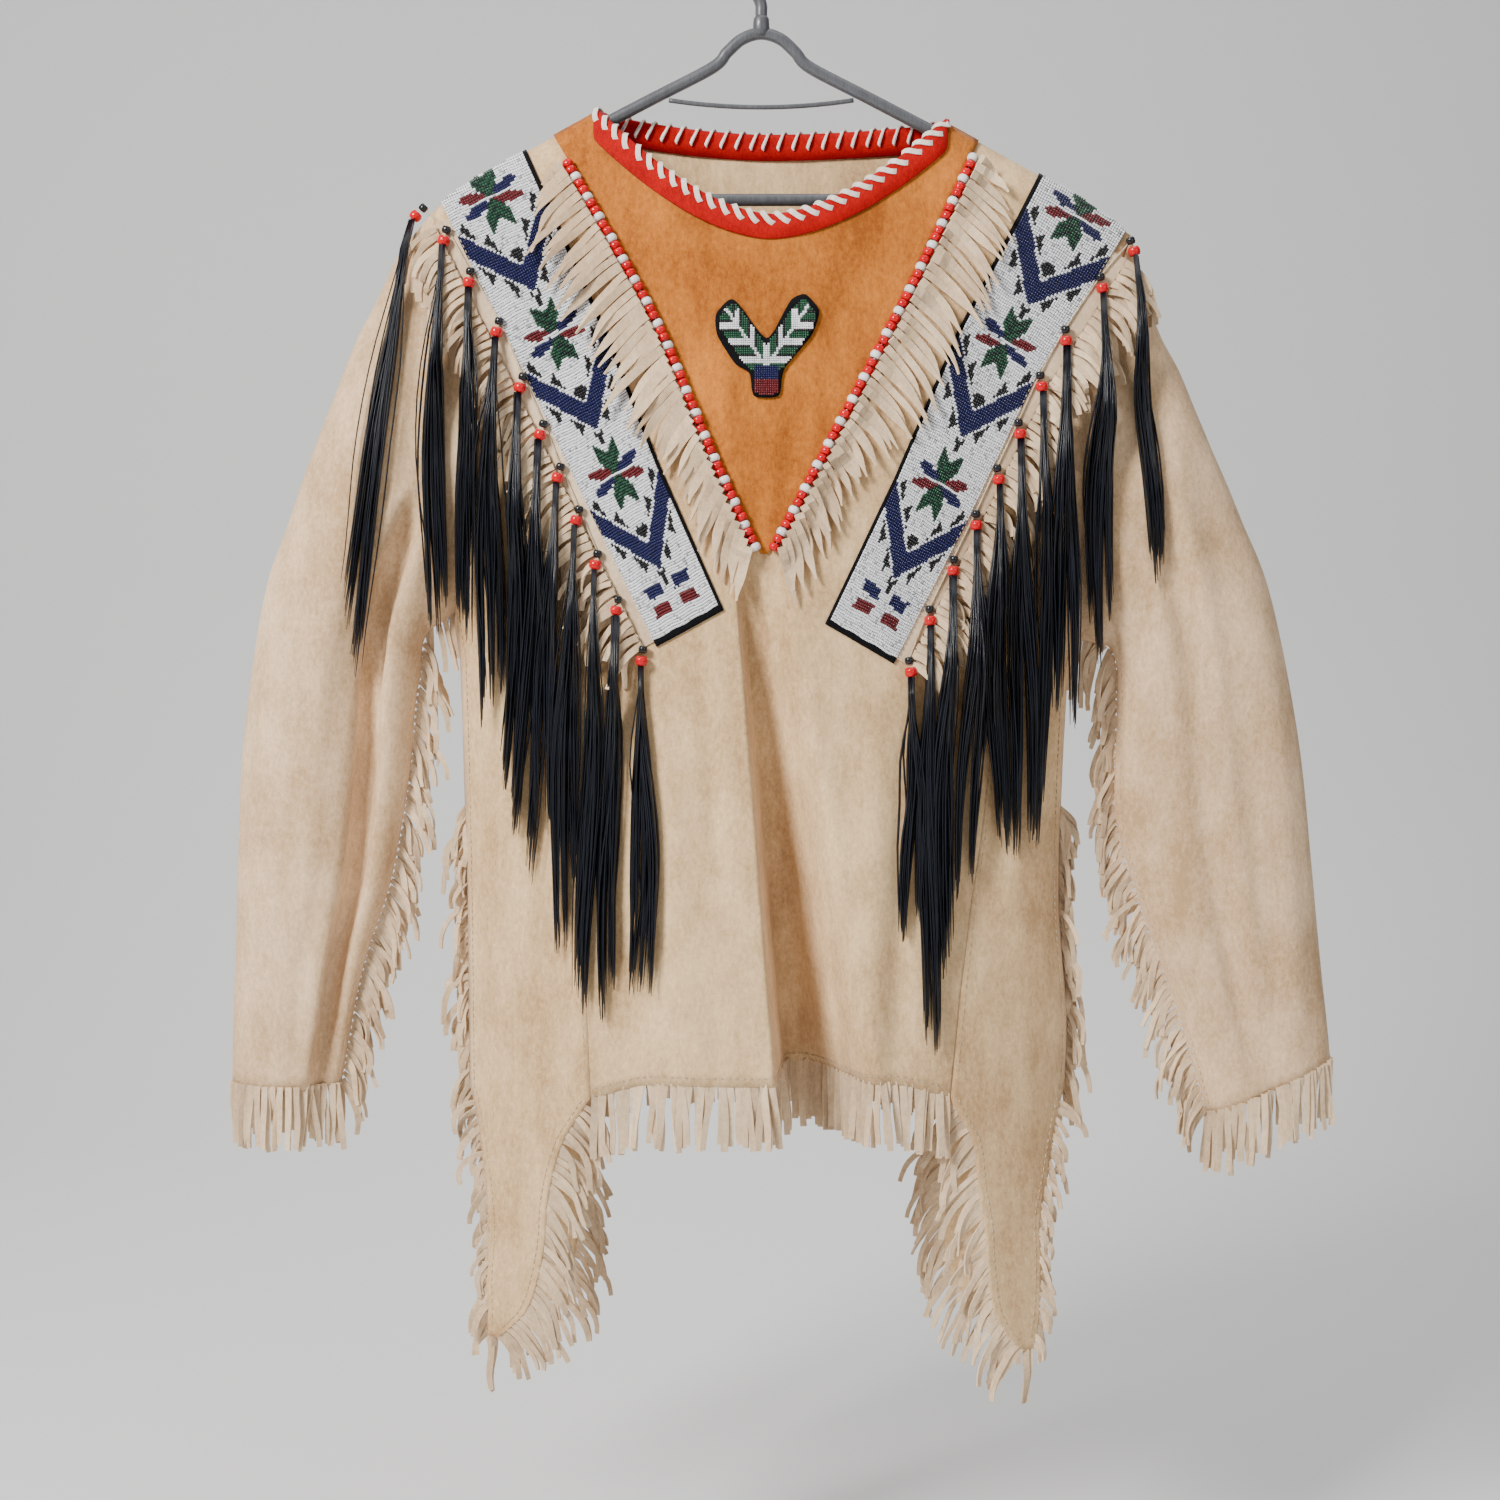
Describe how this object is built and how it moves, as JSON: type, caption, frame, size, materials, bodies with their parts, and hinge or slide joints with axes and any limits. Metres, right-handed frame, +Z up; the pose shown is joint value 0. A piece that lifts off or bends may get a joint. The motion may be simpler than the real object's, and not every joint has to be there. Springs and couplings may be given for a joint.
{
  "type": "war shirt on a hanger",
  "caption": "Plains-style suede war shirt with beaded shoulder strips, hair tassels, fringe and a V bib, hanging on a plain tube hanger by its hook.",
  "frame": {"origin": "where the rail touches the inside of the hanger's hook", "axes": "+Z up, +X towards the viewer's right when the shirt is seen from its front, -Y out of the shirt's front"},
  "size_m": [0.8315, 0.1517, 1.1098],
  "materials": {
    "hide": "cream suede with a soft nap",
    "bib_hide": "rust-brown suede",
    "beadwork": "opaque seed beads in red, white, navy, dark red and green",
    "large_beads": "opaque red and white beads",
    "felt": "red felt laced with white thong",
    "hair": "black hair locks with wrapped stems and red beads",
    "hanger": "grey"
  },
  "bodies": {
    "root": {"front_panel": "hide", "back_panel": "hide", "side_front_left": "hide", "side_back_left": "hide", "side_front_right": "hide", "side_back_right": "hide", "sleeve_left": "hide", "sleeve_right": "hide", "hanger_frame": "hanger", "hanger_hook": "hanger", "hanger_cross_rod": "hanger", "bib": "bib_hide", "neck_binding": "felt", "feather_badge": "beadwork", "beaded_strip_left": "beadwork", "v_fringe_left": "hide", "bead_strand_left": "large_beads", "side_fringe_left": "hide", "sleeve_fringe_left": "hide", "cuff_fringe_left": "hide", "strip_fringe_front_left": "hide", "tab_fringe_front_left": "hide", "hair_tassels_front_left": "hair", "strip_fringe_back_left": "hide", "tab_fringe_back_left": "hide", "hair_tassels_back_left": "hair", "beaded_strip_right": "beadwork", "v_fringe_right": "hide", "bead_strand_right": "large_beads", "side_fringe_right": "hide", "sleeve_fringe_right": "hide", "cuff_fringe_right": "hide", "strip_fringe_front_right": "hide", "tab_fringe_front_right": "hide", "hair_tassels_front_right": "hair", "strip_fringe_back_right": "hide", "tab_fringe_back_right": "hide", "hair_tassels_back_right": "hair", "hem_fringe_front": "hide", "hem_fringe_back": "hide"}
  },
  "joints": []
}
